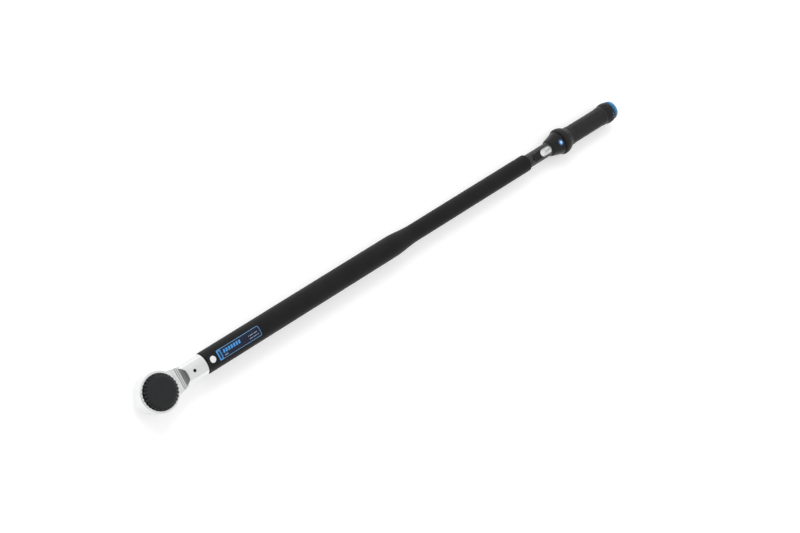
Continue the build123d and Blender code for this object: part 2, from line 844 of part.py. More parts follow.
with BuildPart() as grip_cover:
    with BuildSketch(Plane.XY):
        with BuildLine():
            Spline(
                (collar_end, flare_radius),
                (collar_end + flare_length, grip_radius),
                tangents=((1, flare_slope), (1, 0)),
            )
            Polyline(
                (collar_end + flare_length, grip_radius),
                (bulge_start, grip_radius),
                (bulge_start, core_radius + 0.02),
                (collar_end, core_radius + 0.02),
                (collar_end, flare_radius),
            )
        make_face()
    revolve(axis=Axis.X)
    # long shallow panels round the grip, with a rib between each two
    with BuildSketch(Plane.YZ.offset(collar_end + 12)):
        with PolarLocations(0, grip_panels):
            add(sector(grip_radius + 3, -panel_half_angle, panel_half_angle))
        Circle(grip_radius - panel_depth, mode=Mode.SUBTRACT)
    extrude(amount=bulge_start - collar_end - 18, mode=Mode.SUBTRACT)
save(grip_cover, "grip_cover")

with BuildPart() as grip_end_ring:
    with BuildSketch(Plane.XY):
        with BuildLine():
            Line((bulge_start, core_radius + 0.02), (bulge_start, grip_radius - 0.2))
            Spline(
                (bulge_start, grip_radius - 0.2),
                (bulge_start + 10.5, bulge_radius),
                (bulge_end, bulge_radius - 1.0),
                tangents=((1, 0), (1, -0.28)),
            )
            Polyline(
                (bulge_end, bulge_radius - 1.0),
                (bulge_end, core_radius + 0.6),
                (core_end, core_radius + 0.02),
                (bulge_start, core_radius + 0.02),
            )
        make_face()
    revolve(axis=Axis.X)
    # a thumb scoop at the rear end of each rib
    with Locations(Plane.YZ.offset(bulge_start + 7.5)):
        with PolarLocations(bulge_radius + 6.4, grip_panels, start_angle=45):
            Sphere(8.0, mode=Mode.SUBTRACT)
save(grip_end_ring, "grip_end_ring")

knob_start = bulge_end + knob_gap
knob_radius = 19.0
knob_waist = 17.3
knob_flange = knob_start + 2.6  # the waist ends here
knob_rim_radius = 17.2
knob_dome = 1.8
hub_radius = 9.3
sleeve_start = 1106.0
sleeve_end = 1120.0
sleeve_radius = 12.8
detent_x = 1113.0
screw_radius = 3.0

with BuildPart() as lock_knob:
    with BuildSketch(Plane.XY):
        with BuildLine():
            Polyline(
                (sleeve_start + 4.2, 0),
                (sleeve_start + 4.2, hub_radius),
                (knob_start + 5, hub_radius),
                (knob_start + 5, knob_waist - 2.2),
                (knob_start, knob_waist - 1.6),
                (knob_start, knob_waist),
                (knob_flange, knob_waist),
                (knob_flange + 0.7, knob_radius),
            )
            Spline(
                (knob_flange + 0.7, knob_radius),
                (knob_end, knob_rim_radius),
                tangents=((1, -0.05), (0.5, -1)),
            )
            ThreePointArc(
                (knob_end, knob_rim_radius),
                (knob_end + knob_dome * 0.75, knob_rim_radius / 2),
                (knob_end + knob_dome, 0),
            )
            Line((knob_end + knob_dome, 0), (sleeve_start + 4.2, 0))
        make_face()
    revolve(axis=Axis.X)
    rod(sleeve_start, knob_end + 5, screw_radius + 0.2, Mode.SUBTRACT)
    rod(knob_end - 4.4, knob_end + 5, screw_radius + 2.4, Mode.SUBTRACT)
save(lock_knob, "lock_knob")

with BuildPart() as lock_sleeve:
    rod(sleeve_start, sleeve_end, sleeve_radius)
    rod(sleeve_start + 4, sleeve_end + 1, hub_radius + 0.05, Mode.SUBTRACT)
    rod(sleeve_start - 1, sleeve_end, screw_radius, Mode.SUBTRACT)
    rod(detent_x - 0.8, detent_x + 0.8, sleeve_radius + 1, Mode.SUBTRACT)
    rod(detent_x - 0.9, detent_x + 0.9, sleeve_radius - 0.7)
    rod(detent_x - 1, detent_x + 1, hub_radius + 0.05, Mode.SUBTRACT)
    with BuildSketch(Plane.YZ.offset(neck_end + 6)):
        with PolarLocations(0, fingers):
            add(sector(finger_outer, -finger_angle / 2, finger_angle / 2))
        Circle(finger_inner, mode=Mode.SUBTRACT)
    extrude(amount=sleeve_start - neck_end - 6)
save(lock_sleeve, "lock_sleeve")

with BuildPart() as lock_detent:
    with BuildSketch(Plane.XY):
        with Locations((detent_x, sleeve_radius + 0.1)):
            Circle(0.7)
    revolve(axis=Axis.X)
    block((detent_x - 2, detent_x + 2), (10, 20), (-1.5, 1.5), Mode.SUBTRACT)
save(lock_detent, "lock_detent")

with BuildPart() as knob_screw:
    rod(sleeve_start + 0.5, knob_end - 4.3, screw_radius - 0.01)
    rod(knob_end - 4.3, knob_end - 0.4, screw_radius + 2.2)
    with BuildSketch(Plane.YZ.offset(knob_end - 0.4)):
        RegularPolygon(2.9, 6)
    extrude(amount=-2.6, mode=Mode.SUBTRACT)
save(knob_screw, "knob_screw")
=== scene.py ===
# A long click-type torque wrench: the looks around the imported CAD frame.
# Metres. +X runs from the drive to the grip, +Z is the drive axis with the dial on top.
import json
import math

import bmesh
import bpy
from mathutils import Matrix, Vector


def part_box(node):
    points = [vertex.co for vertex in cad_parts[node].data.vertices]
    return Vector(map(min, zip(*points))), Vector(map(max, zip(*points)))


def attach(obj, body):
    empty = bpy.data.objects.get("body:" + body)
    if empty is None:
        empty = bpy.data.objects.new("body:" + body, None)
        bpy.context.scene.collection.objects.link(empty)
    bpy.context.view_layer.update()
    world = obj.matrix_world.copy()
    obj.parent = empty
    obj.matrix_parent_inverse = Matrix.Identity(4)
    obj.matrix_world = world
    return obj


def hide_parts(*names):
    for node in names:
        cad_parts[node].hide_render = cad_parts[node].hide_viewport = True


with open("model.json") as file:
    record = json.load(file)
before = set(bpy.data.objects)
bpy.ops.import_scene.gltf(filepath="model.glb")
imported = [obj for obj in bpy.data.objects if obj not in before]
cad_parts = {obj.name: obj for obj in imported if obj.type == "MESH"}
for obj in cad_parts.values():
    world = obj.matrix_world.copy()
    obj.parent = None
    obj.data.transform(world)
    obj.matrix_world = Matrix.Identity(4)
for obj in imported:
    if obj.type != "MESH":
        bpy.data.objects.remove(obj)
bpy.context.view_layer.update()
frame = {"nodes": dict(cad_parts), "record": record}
nodes = frame["nodes"]
MM = 0.001
SHADER_SAMPLES = 6  # rays of each bevel or occlusion node
EDGE_ROUND = 0.35 * MM  # shading of every edge
# reach and colour of the painted shade that darkens recesses
PAINTED_SHADE_REACH = 2.2 * MM
PAINTED_SHADE_TONE = (0.05, 0.05, 0.05)
WORN_GLOSS = 0.12  # how much smoother a worn edge is


# ---------------------------------------------------------------- materials
def new(tree, kind, settings=None, **inputs):
    """Adds a node. Inputs are given by name, with _ for a space, as a value or a socket to link."""
    made = tree.nodes.new(kind)
    for key, value in (settings or {}).items():
        setattr(made, key, value)
    for key, value in inputs.items():
        socket = made.inputs[key.replace("_", " ")]
        if isinstance(value, bpy.types.NodeSocket):
            tree.links.new(value, socket)
        else:
            socket.default_value = value
    return made


def rgba(colour):
    return (*colour, 1.0)


def noise(tree, place, size, detail=3.0, stretch=(1, 1, 1), rough=0.55):
    """Noise with features of about that size in metres, drawn out where stretch is larger."""
    mapping = new(tree, "ShaderNodeMapping", Vector=place, Scale=[1 / (size * s) for s in stretch])
    return new(
        tree,
        "ShaderNodeTexNoise",
        Vector=mapping.outputs[0],
        Scale=1.0,
        Detail=detail,
        Roughness=rough,
    ).outputs["Fac"]


def remap(tree, value, low, high, to_low, to_high):
    """Maps low..high to to_low..to_high, held at both ends."""
    return new(
        tree,
        "ShaderNodeMapRange",
        Value=value,
        From_Min=low,
        From_Max=high,
        To_Min=to_low,
        To_Max=to_high,
    ).outputs[0]


def math_node(tree, operation, first, second):
    """One sum on two values or sockets, held between 0 and 1."""
    made = tree.nodes.new("ShaderNodeMath")
    made.operation = operation
    made.use_clamp = True
    for socket, value in zip(made.inputs, (first, second)):
        if isinstance(value, bpy.types.NodeSocket):
            tree.links.new(value, socket)
        else:
            socket.default_value = value
    return made.outputs[0]


def mix(tree, factor, first, second):
    """Colour mix; the ends are colours or sockets."""
    made = tree.nodes.new("ShaderNodeMix")
    made.data_type = "RGBA"
    tree.links.new(factor, made.inputs[0])
    for socket, value in ((made.inputs[6], first), (made.inputs[7], second)):
        if isinstance(value, bpy.types.NodeSocket):
            tree.links.new(value, socket)
        else:
            socket.default_value = rgba(value)
    return made.outputs[2]


def mix_value(tree, factor, first, second):
    """Mix from a socket to a plain value."""
    made = tree.nodes.new("ShaderNodeMix")
    made.data_type = "FLOAT"
    tree.links.new(factor, made.inputs[0])
    tree.links.new(first, made.inputs[2])
    made.inputs[3].default_value = second
    return made.outputs[0]


def edge_mask(tree, place, radius, patch):
    """About 1 along outer and inner edges, broken up by noise."""
    soft = new(tree, "ShaderNodeBevel", {"samples": SHADER_SAMPLES}, Radius=radius)
    flat = new(tree, "ShaderNodeNewGeometry")
    dot = tree.nodes.new("ShaderNodeVectorMath")
    dot.operation = "DOT_PRODUCT"
    tree.links.new(soft.outputs[0], dot.inputs[0])
    tree.links.new(flat.outputs["Normal"], dot.inputs[1])
    near_edge = remap(tree, dot.outputs["Value"], 0.995, 0.93, 0.0, 1.0)
    broken = remap(tree, noise(tree, place, patch, 4.0), 0.44, 0.62, 0.0, 1.0)
    return math_node(tree, "MULTIPLY", near_edge, broken)


def milled_face(tree, place, base, gloss, facing, start, end, colour, dull):
    """A duller milled face, its darker colour a painted dark reflection: the surface that faces
    one way between two stations on X.
    """
    normal = new(tree, "ShaderNodeTexCoord").outputs["Normal"]
    turned_to = new(tree, "ShaderNodeVectorMath", {"operation": "DOT_PRODUCT"})
    tree.links.new(normal, turned_to.inputs[0])
    turned_to.inputs[1].default_value = facing
    station = new(tree, "ShaderNodeSeparateXYZ", Vector=place).outputs[0]
    border = 0.0002
    mask = math_node(
        tree,
        "MULTIPLY",
        remap(tree, turned_to.outputs["Value"], 0.95, 0.97, 0.0, 1.0),
        math_node(
            tree,
            "MULTIPLY",
            remap(tree, station, start, start + border, 0.0, 1.0),
            remap(tree, station, end, end + border, 1.0, 0.0),
        ),
    )
    lines = noise(tree, place, 0.0005, 2.0, (1, 12, 1))
    tone = mix(tree, lines, colour, tuple(c * 0.86 for c in colour))
    return mix(tree, mask, base, tone), mix_value(tree, mask, gloss, dull)


def finish(
    name,
    colour,
    second,
    roughness,
    grain,
    depth,
    mottle=0.02,
    stretch=(1, 1, 1),
    metallic=0.0,
    wear_and_edge_highlight=None,
    edge_band=0.0006,
    scratches=0.0,
    painted_recess_shade=0.0,
    milled_dark_facet=None,
    **constants,
):
    """A finish: two near colours mottled together, a grain with its bump, smudged roughness,
    scratches, light edges (wear on some parts, a painted highlight on others) and painted shade
    in recesses. roughness is (smoothest, roughest); grain and depth are the size and height of
    the bump in metres; milled holds milled_face's last arguments, for a facet whose darker colour
    is a painted reflection."""
    made = bpy.data.materials.new(name)
    made.use_nodes = True
    tree = made.node_tree
    shader = tree.nodes["Principled BSDF"]
    place = new(tree, "ShaderNodeTexCoord").outputs["Object"]

    cloud = remap(tree, noise(tree, place, mottle, 4.0, stretch), 0.3, 0.7, 0.0, 1.0)
    speck = noise(tree, place, grain, 2.0, stretch)
    tone = math_node(tree, "MULTIPLY", cloud, remap(tree, speck, 0.2, 0.8, 0.6, 1.0))
    base = mix(tree, tone, colour, second)
    smudge = noise(tree, place, mottle * 1.7, 5.0, rough=0.7)
    gloss = remap(tree, smudge, 0.3, 0.72, roughness[0], roughness[1])
    height = speck
    if scratches:
        lines = [
            remap(tree, noise(tree, place, 0.0009, 1.0, pull), 0.66, 0.74, 0.0, scratches)
            for pull in ((26, 1, 1.4), (1.2, 22, 1))
        ]
        marks = math_node(tree, "ADD", *lines)
        gloss = math_node(tree, "ADD", gloss, marks)
        height = math_node(tree, "SUBTRACT", speck, marks)
    # light edges: real wear on most finishes, a painted highlight on the moulded housing and the
    # dial
    if wear_and_edge_highlight is not None:
        edge = edge_mask(tree, place, edge_band, mottle * 0.35)
        base = mix(tree, edge, base, wear_and_edge_highlight)
        gloss = math_node(tree, "SUBTRACT", gloss, math_node(tree, "MULTIPLY", edge, WORN_GLOSS))
    # painted shade: the base colour darkens where the occlusion node finds a hollow
    if painted_recess_shade:
        hollow = new(
            tree,
            "ShaderNodeAmbientOcclusion",
            {"samples": SHADER_SAMPLES},
            Distance=PAINTED_SHADE_REACH,
        )
        shade = remap(tree, hollow.outputs["AO"], 0.15, 0.75, painted_recess_shade, 0.0)
        base = mix(tree, shade, base, PAINTED_SHADE_TONE)
    if milled_dark_facet is not None:
        base, gloss = milled_face(tree, place, base, gloss, *milled_dark_facet)
    rounded = new(tree, "ShaderNodeBevel", {"samples": SHADER_SAMPLES}, Radius=EDGE_ROUND)
    bump = new(
        tree,
        "ShaderNodeBump",
        Strength=0.6,
        Distance=depth,
        Height=height,
        Normal=rounded.outputs[0],
    )
    for socket, value in (("Base Color", base), ("Roughness", gloss), ("Normal", bump.outputs[0])):
        tree.links.new(value, shader.inputs[socket])
    shader.inputs["Metallic"].default_value = metallic
    for key, value in constants.items():
        shader.inputs[key.replace("_", " ")].default_value = value
    return made


STEEL_WEAR = (0.42, 0.42, 0.43)
DULL = 0.12  # specular level of the matt black parts
# the sloped facet behind the flat of the neck: which way it faces, and its ends along X
FACET_FACING = (-0.749, 0.0, 0.663)
FACET_START, FACET_END = 50.5 * MM, 59.2 * MM
# the facet's colour is darker than the chrome as a painted dark reflection; its dullness is
# roughness
FACET_PAINTED_REFLECTION, FACET_DULL = (0.36, 0.378, 0.36), 0.34

finishes = {
    "head_chrome": finish(
        "satin_chrome", (0.775, 0.785, 0.78), (0.72, 0.73, 0.73), (0.12, 0.24), 0.0016, 0.00001,
        # painted shade darkens the head's grooves and recesses
        mottle=0.012, metallic=1.0, scratches=0.06, painted_recess_shade=0.85,
        # on the sloped facet a darker colour, a painted dark reflection, with milled lines
        milled_dark_facet=(FACET_FACING, FACET_START, FACET_END, FACET_PAINTED_REFLECTION, FACET_DULL),
    ),
    "tool_steel": finish(
        "ground_steel", (0.42, 0.42, 0.43), (0.30, 0.30, 0.31), (0.24, 0.42), 0.0004, 0.00002,
        stretch=(14, 1, 1), metallic=1.0, scratches=0.12,
    ),
    "drive_steel": finish(
        "hardened_drive_steel", (0.60, 0.61, 0.62), (0.48, 0.49, 0.51),
        (0.16, 0.3), 0.0005, 0.00002,
        stretch=(1, 1, 12), metallic=1.0, scratches=0.1, wear_and_edge_highlight=(0.75, 0.75, 0.76),
    ),
    "pin_steel": finish(
        "bright_pin_steel", (0.93, 0.93, 0.93), (0.88, 0.885, 0.89), (0.2, 0.34), 0.0005, 0.00001,
        mottle=0.006, metallic=1.0, scratches=0.1,
    ),
    "spring_steel": finish(
        "blued_spring_steel", (0.06, 0.06, 0.07), (0.035, 0.035, 0.045),
        (0.3, 0.45), 0.0004, 0.00002,
        mottle=0.008, metallic=1.0,
    ),
    "tube_black": finish(
        "satin_black_coat", (0.0085, 0.0085, 0.0095), (0.012, 0.012, 0.013),
        (0.44, 0.56), 0.0005, 0.00002,
        mottle=0.03, wear_and_edge_highlight=STEEL_WEAR, edge_band=0.0003, scratches=0.04, Specular_IOR_Level=DULL,
    ),
    "neck_black": finish(
        "phosphated_neck", (0.013, 0.013, 0.014), (0.018, 0.018, 0.020),
        (0.36, 0.5), 0.0004, 0.00002,
        mottle=0.012, wear_and_edge_highlight=STEEL_WEAR, edge_band=0.0003, scratches=0.05, Specular_IOR_Level=0.4,
    ),
    "housing_black": finish(
        "moulded_housing", (0.008, 0.008, 0.009), (0.011, 0.011, 0.012),
        (0.24, 0.36), 0.0006, 0.00002,
        # the pale edge colour here is a painted highlight along the housing's edges
        mottle=0.01, wear_and_edge_highlight=(0.16, 0.16, 0.165), edge_band=0.0005, Specular_IOR_Level=0.2,
    ),
    "dial_black": finish(
        "moulded_dial", (0.0075, 0.008, 0.009), (0.010, 0.011, 0.012),
        (0.3, 0.42), 0.0005, 0.00002,
        # the pale edge colour here is a painted highlight on the dial's rib edges
        mottle=0.012, wear_and_edge_highlight=(0.10, 0.10, 0.105), edge_band=0.0006, Specular_IOR_Level=0.3,
    ),
    "grip_black": finish(
        "soft_grip_rubber", (0.013, 0.013, 0.014), (0.018, 0.018, 0.0185),
        (0.46, 0.6), 0.0007, 0.00005,
        mottle=0.014, wear_and_edge_highlight=(0.07, 0.07, 0.072), edge_band=0.0009,
        Sheen_Weight=0.03, Sheen_Roughness=0.5, Specular_IOR_Level=0.18,
    ),
    "grip_hard": finish(
        "moulded_grip_ends", (0.009, 0.009, 0.010), (0.012, 0.012, 0.013),
        (0.38, 0.5), 0.0006, 0.00003,
        mottle=0.012, Specular_IOR_Level=0.2,
    ),
    "core_plastic": finish(
        "grey_core_plastic", (0.12, 0.12, 0.13), (0.15, 0.15, 0.16), (0.45, 0.6), 0.0006, 0.00003,
    ),
    "knob_blue": finish(
        "blue_knob_plastic", (0.022, 0.185, 0.38), (0.018, 0.155, 0.32),
        (0.24, 0.36), 0.0006, 0.00002,
        mottle=0.01, Coat_Weight=0.2,
    ),
    "label_foil": finish(
        "printed_label_foil", (0.002, 0.005, 0.019), (0.003, 0.007, 0.024),
        (0.26, 0.36), 0.0004, 0.00001,
        mottle=0.01, Specular_IOR_Level=0.3,
    ),
    "scale_white": finish(
        "white_scale", (0.93, 0.92, 0.925), (0.89, 0.88, 0.89), (0.4, 0.55), 0.0004, 0.00001,
        mottle=0.008,
    ),
    "bronze": finish(
        "oiled_bronze", (0.50, 0.34, 0.17), (0.40, 0.26, 0.12), (0.3, 0.45), 0.0005, 0.00002,
        metallic=1.0,
    ),
    "seal_rubber": finish(
        "seal_rubber", (0.010, 0.010, 0.011), (0.015, 0.015, 0.016), (0.6, 0.75), 0.0006, 0.00003,
    ),
}


def ink(name, colour, second):
    """A printed ink: thin, smooth and even."""
    return finish(name, colour, second, (0.3, 0.42), 0.0004, 0.000005, mottle=0.004)


inks = {
    "sky": ink("ink_light_blue", (0.17, 0.40, 0.72), (0.14, 0.35, 0.64)),
    "blue": ink("ink_mid_blue", (0.045, 0.27, 0.64), (0.035, 0.23, 0.56)),
    "pale": ink("ink_pale_blue", (0.34, 0.42, 0.60), (0.28, 0.36, 0.54)),
    "navy": ink("ink_navy", (0.006, 0.02, 0.07), (0.005, 0.016, 0.055)),
    "grey": ink("ink_grey", (0.10, 0.10, 0.11), (0.14, 0.14, 0.15)),
    "black": ink("ink_black", (0.012, 0.012, 0.014), (0.018, 0.018, 0.02)),
    "white": ink("ink_white", (0.44, 0.43, 0.43), (0.38, 0.37, 0.37)),
    "gem": finish(
        "marker_gloss_blue", (0.035, 0.20, 0.50), (0.045, 0.24, 0.56),
        (0.08, 0.16), 0.0004, 0.000005,
        mottle=0.003, Coat_Weight=1.0,
    ),
    # the pale blue of the marker's centre is a painted highlight
    "glint": finish(
        "marker_painted_highlight", (0.52, 0.78, 0.97), (0.40, 0.70, 0.94),
        (0.08, 0.16), 0.0004, 0.000005,
        mottle=0.002, Coat_Weight=1.0,
    ),
}

lens = bpy.data.materials.new("clear_lens")
lens.use_nodes = True
lens_tree = lens.node_tree
lens_shader = lens_tree.nodes["Principled BSDF"]
lens_place = new(lens_tree, "ShaderNodeTexCoord").outputs["Object"]
lens_gloss = remap(lens_tree, noise(lens_tree, lens_place, 0.006), 0.3, 0.7, 0.03, 0.12)
lens_tree.links.new(lens_gloss, lens_shader.inputs["Roughness"])
lens_shader.inputs["Base Color"].default_value = rgba((0.97, 0.98, 0.98))
lens_shader.inputs["Transmission Weight"].default_value = 1.0
lens_shader.inputs["IOR"].default_value = 1.2
finishes["lens_clear"] = lens

slot_of = {entry["node"]: entry["material_slot"] for entry in frame["record"]["subparts"]}
for name, part in nodes.items():
    part.data.materials.clear()
    part.data.materials.append(finishes[slot_of[name]])


# ---------------------------------------------------------------- mesh helpers
def soften(corners, radius, steps=4):
    """A closed outline in millimetres, its corners rounded; a corner may carry its own radius."""
    out = []
    count = len(corners)
    for i, corner in enumerate(corners):
        here = Vector(corner[:2])
        size = corner[2] if len(corner) > 2 else radius
        before = Vector(corners[i - 1][:2]) - here
        after = Vector(corners[(i + 1) % count][:2]) - here
        if size <= 0:
            out.append(tuple(here))
            continue
        start = here + before.normalized() * min(size, before.length * 0.45)
        end = here + after.normalized() * min(size, after.length * 0.45)
        for k in range(steps + 1):
            t = k / steps
            out.append(tuple(start * (1 - t) ** 2 + here * 2 * t * (1 - t) + end * t * t))
    return out


def divided(outline, longest):
    """The same closed outline with its long runs divided, so that it can be shaped."""
    out = []
    for i, point in enumerate(outline):
        here, ahead = Vector(point), Vector(outline[(i + 1) % len(outline)])
        parts = max(1, math.ceil((ahead - here).length / longest))
        out += [tuple(here.lerp(ahead, k / parts)) for k in range(parts)]
    return out


def piece(name, points, faces, body, paint, sharp=40.0):
    """A mesh piece in the row frame; the points are in millimetres."""
    mesh = bpy.data.meshes.new(name)
    mesh.from_pydata([tuple(c * MM for c in p) for p in points], [], faces)
    tidy = bmesh.new()
    tidy.from_mesh(mesh)
    bmesh.ops.remove_doubles(tidy, verts=tidy.verts, dist=1e-6)
    bmesh.ops.recalc_face_normals(tidy, faces=tidy.faces)
    tidy.to_mesh(mesh)
    tidy.free()
    mesh.polygons.foreach_set("use_smooth", [True] * len(mesh.polygons))
    mesh.set_sharp_from_angle(angle=math.radians(sharp))
    mesh.materials.append(paint)
    made = bpy.data.objects.new(name, mesh)
    bpy.context.scene.collection.objects.link(made)
    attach(made, body)
    return made


def turned(name, outline, axis, count, body, slot, shape=None, paint=None, sharp=40.0):
    """A turned piece. outline is a closed loop of (station, radius), and
    shape(station, radius, angle) moves a point. Round X the angle runs from the top towards +Y,
    and round Z from +X towards +Y."""
    points, faces = [], []
    rows = len(outline)
    for k in range(count):
        angle = 2 * math.pi * k / count
        for station, radius in outline:
            if shape:
                at, out = shape(station, radius, angle)
            else:
                at, out = station, radius
            if axis == "X":
                points.append((at, out * math.sin(angle), out * math.cos(angle)))
            else:
                points.append((out * math.cos(angle), out * math.sin(angle), at))
    for k in range(count):
        one, two = k * rows, ((k + 1) % count) * rows
        for i in range(rows):
            j = (i + 1) % rows
            faces.append((one + i, one + j, two + j, two + i))
    return piece(name, points, faces, body, paint or finishes[slot], sharp)


def ease(value, low, high):
    """0 below low, 1 above high, and a smooth step between."""
    t = min(max((value - low) / (high - low), 0.0), 1.0)
    return t * t * (3 - 2 * t)


def curve(points, steps=10):
    """A smooth line through the points (Catmull-Rom), ends included."""
    padded = [points[0], *points, points[-1]]
    out = []
    for a, b, c, d in zip(padded, padded[1:], padded[2:], padded[3:]):
        for k in range(steps):
            t = k / steps
            out.append(
                tuple(
                    0.5
                    * (
                        2 * q
                        + (r - p) * t
                        + (2 * p - 5 * q + 4 * r - s) * t * t
                        + (3 * q - p - 3 * r + s) * t**3
                    )
                    for p, q, r, s in zip(a, b, c, d)
                )
            )
    return [*out, points[-1]]


def span(node, axis=0):
    """Low and high value of a CAD node along an axis, in millimetres."""
    low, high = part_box(node)
    return low[axis] / MM, high[axis] / MM


# ---------------------------------------------------------------- selector dial
dial_radius = span("selector_dial", 0)[1]
hub_low, dial_top = span("selector_dial", 2)
dial_low = span("cover_circlip", 2)[1] + 0.4
dial_shoulder = dial_low + 9.4  # where the upright rim turns into the slope
DIAL_FACE, DIAL_BROW, HUB = 21.5, 24.3, 8.0
FLUTES, FLUTE_STEPS, FLUTE_RADIUS, FLUTE_DEPTH = 29, 20, 1.75, 1.6
SLOPE_DOWN, SLOPE_IN = 0.87, 0.48  # which way a flute is cut on the slope


def fluted(station, radius, angle):
    """Scallops up the rim, running out on the slope below the face."""
    pitch = 2 * math.pi / FLUTES
    off = (angle + pitch / 2) % pitch - pitch / 2
    side = abs(off) * radius
    if side >= FLUTE_RADIUS or radius < DIAL_BROW or station < dial_low + 0.2:
        return station, radius
    cut = max(0.0, math.sqrt(FLUTE_RADIUS**2 - side**2) - (FLUTE_RADIUS - FLUTE_DEPTH))
    cut *= ease(radius, DIAL_BROW + 0.4, dial_radius - 1.8)
    lean = ease(station, dial_shoulder - 0.8, dial_shoulder + 1.0)
    return station - cut * SLOPE_DOWN * lean, radius - cut * (1 - (1 - SLOPE_IN) * lean)


dial_outline = soften(
    [
        (hub_low, 0.0, 0),
        (hub_low, HUB, 0.3),
        (dial_low, HUB, 0.2),
        (dial_low, dial_radius, 0.3),
        (dial_shoulder, dial_radius, 0.5),
        (dial_shoulder + 1.0, dial_radius - 0.8, 0.6),
        (dial_top - 0.7, DIAL_BROW, 1.0),
        (dial_top, DIAL_FACE, 0.5),
        (dial_top, 0.0, 0),
    ],
    0.3,
)
dial = turned(
    "dial_moulding", divided(dial_outline, 0.9), "Z", FLUTES * FLUTE_STEPS, "selector",
    "dial_black", fluted, sharp=50,
)
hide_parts("selector_dial")

# ---------------------------------------------------------------- grip and lock knob
collar_start, collar_end = span("grip_collar")
cover_start, cover_end = span("grip_cover")
ring_start, ring_end = span("grip_end_ring")
core_radius = span("grip_core", 2)[1]
collar_radius = span("grip_collar", 2)[1]
ring_radius = span("grip_end_ring", 1)[1]
GRIP, FLARE = 18.8, 20.9
LIP = 3.7  # how far the collar reaches in front of the core
core_fit = core_radius + 0.02
inner_radius = core_radius - 2.0

collar_line = curve(
    [
        (collar_start, 22.6),
        (collar_start + 0.35, 24.1),
        (collar_start + 1.6, 25.3),
        (collar_start + 4.2, collar_radius),
        (collar_start + 10.7, 25.75),
        (collar_start + 15.7, 24.0),
        (collar_start + 18.9, 22.3),
        (collar_end, FLARE),
    ],
    6,
)
collar_outline = [
    (collar_start, inner_radius),
    *collar_line,
    (collar_end, core_fit),
    (collar_start + LIP, core_fit),
    (collar_start + LIP, inner_radius),
]
collar = turned("grip_collar_moulding", collar_outline, "X", 192, "grip", "grip_hard")
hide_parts("grip_collar")

PANEL_DEPTH, PANEL_CORNER, PANEL_SLOPE = 0.7, 4.0, 0.8
PANEL_HALF = math.radians(38)
PANEL_FRONT, PANEL_REAR = cover_start + 12, cover_end - 6


def panelled(station, radius, angle):
    """Four long shallow panels with soft edges, between four ribs."""
    if radius < GRIP - 0.3:
        return station, radius
    quarter = math.pi / 2
    off = abs((angle + quarter / 2) % quarter - quarter / 2)
    along = min(station - PANEL_FRONT, PANEL_REAR - station)
    across = (PANEL_HALF - off) * radius
    if along < PANEL_CORNER and across < PANEL_CORNER:
        inside = PANEL_CORNER - math.hypot(PANEL_CORNER - along, PANEL_CORNER - across)
    else:
        inside = min(along, across)
    return station, radius - PANEL_DEPTH * ease(inside, 0.0, PANEL_SLOPE)


flare = curve(
    [
        (cover_start, FLARE),
        (cover_start + 1.8, 19.9),
        (cover_start + 3.7, 19.2),
        (cover_start + 5.6, 18.88),
        (cover_start + 7.8, GRIP),
    ],
    5,
)
cover_outline = divided(
    [
        *flare,
        (cover_end, GRIP),
        (cover_end, core_fit),
        (cover_start, core_fit),
    ],
    0.8,
)
cover = turned("grip_cover_moulding", cover_outline, "X", 360, "grip", "grip_black", panelled)
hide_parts("grip_cover")

SCOOP_X, SCOOP_OUT, SCOOP_RADIUS = ring_start + 7.5, 27.3, 8.0


def scooped(station, radius, angle):
    """A round thumb scoop at the rear end of each rib."""
    quarter = math.pi / 2
    off = (angle % quarter) - quarter / 2
    left = SCOOP_RADIUS**2 - (station - SCOOP_X) ** 2 - (SCOOP_OUT * math.sin(off)) ** 2
    if left <= 0 or radius < GRIP - 1:
        return station, radius
    return station, min(radius, SCOOP_OUT * math.cos(off) - math.sqrt(left))


ring_line = curve(
    [
        (ring_start, GRIP - 0.2),
        (ring_start + 2.6, GRIP + 0.15),
        (ring_start + 6.0, GRIP + 1.5),
        (ring_start + 10.5, ring_radius),
        (ring_start + 14.5, ring_radius - 0.15),
        (ring_end - 0.5, ring_radius - 0.9),
        (ring_end, ring_radius - 1.5),
    ],
    8,
)
ring_outline = [
    *ring_line,
    (ring_end, core_radius + 0.7),
    (ring_end - 4.0, core_fit),
    (ring_start, core_fit),
]
ring = turned(
    "grip_end_moulding", divided(ring_outline, 0.5), "X", 360, "grip", "grip_hard",
    scooped, sharp=32,
)
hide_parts("grip_end_ring")

sleeve_low, knob_high = span("lock_knob")
knob_start = ring_end + 0.6
knob_end = knob_high - 1.8
KNOB, WAIST, RIM, HUB_OUT = 19.0, 17.3, 17.2, 9.3
SCREW_BORE, SCREW_RECESS, DOME_END = 3.2, 5.4, 6.4
DOME_START, DOME_RISE, DOME_STEPS = knob_end + 0.3, 1.3, 12
rim_line = curve(
    [
        (knob_start + 3.2, KNOB - 0.2),
        (knob_start + 4.2, KNOB),
        (knob_start + 6.6, KNOB - 0.35),
        (knob_start + 9.2, KNOB - 1.0),
        (knob_end - 0.4, RIM + 0.15),
        (DOME_START, RIM - 1.0),
    ],
    6,
)
dome_line = [
    (
        DOME_START + DOME_RISE * math.sin(math.pi / 2 * k / DOME_STEPS),
        (RIM - 1.0) * (1 - k / DOME_STEPS) + DOME_END * k / DOME_STEPS,
    )
    for k in range(1, DOME_STEPS)
]
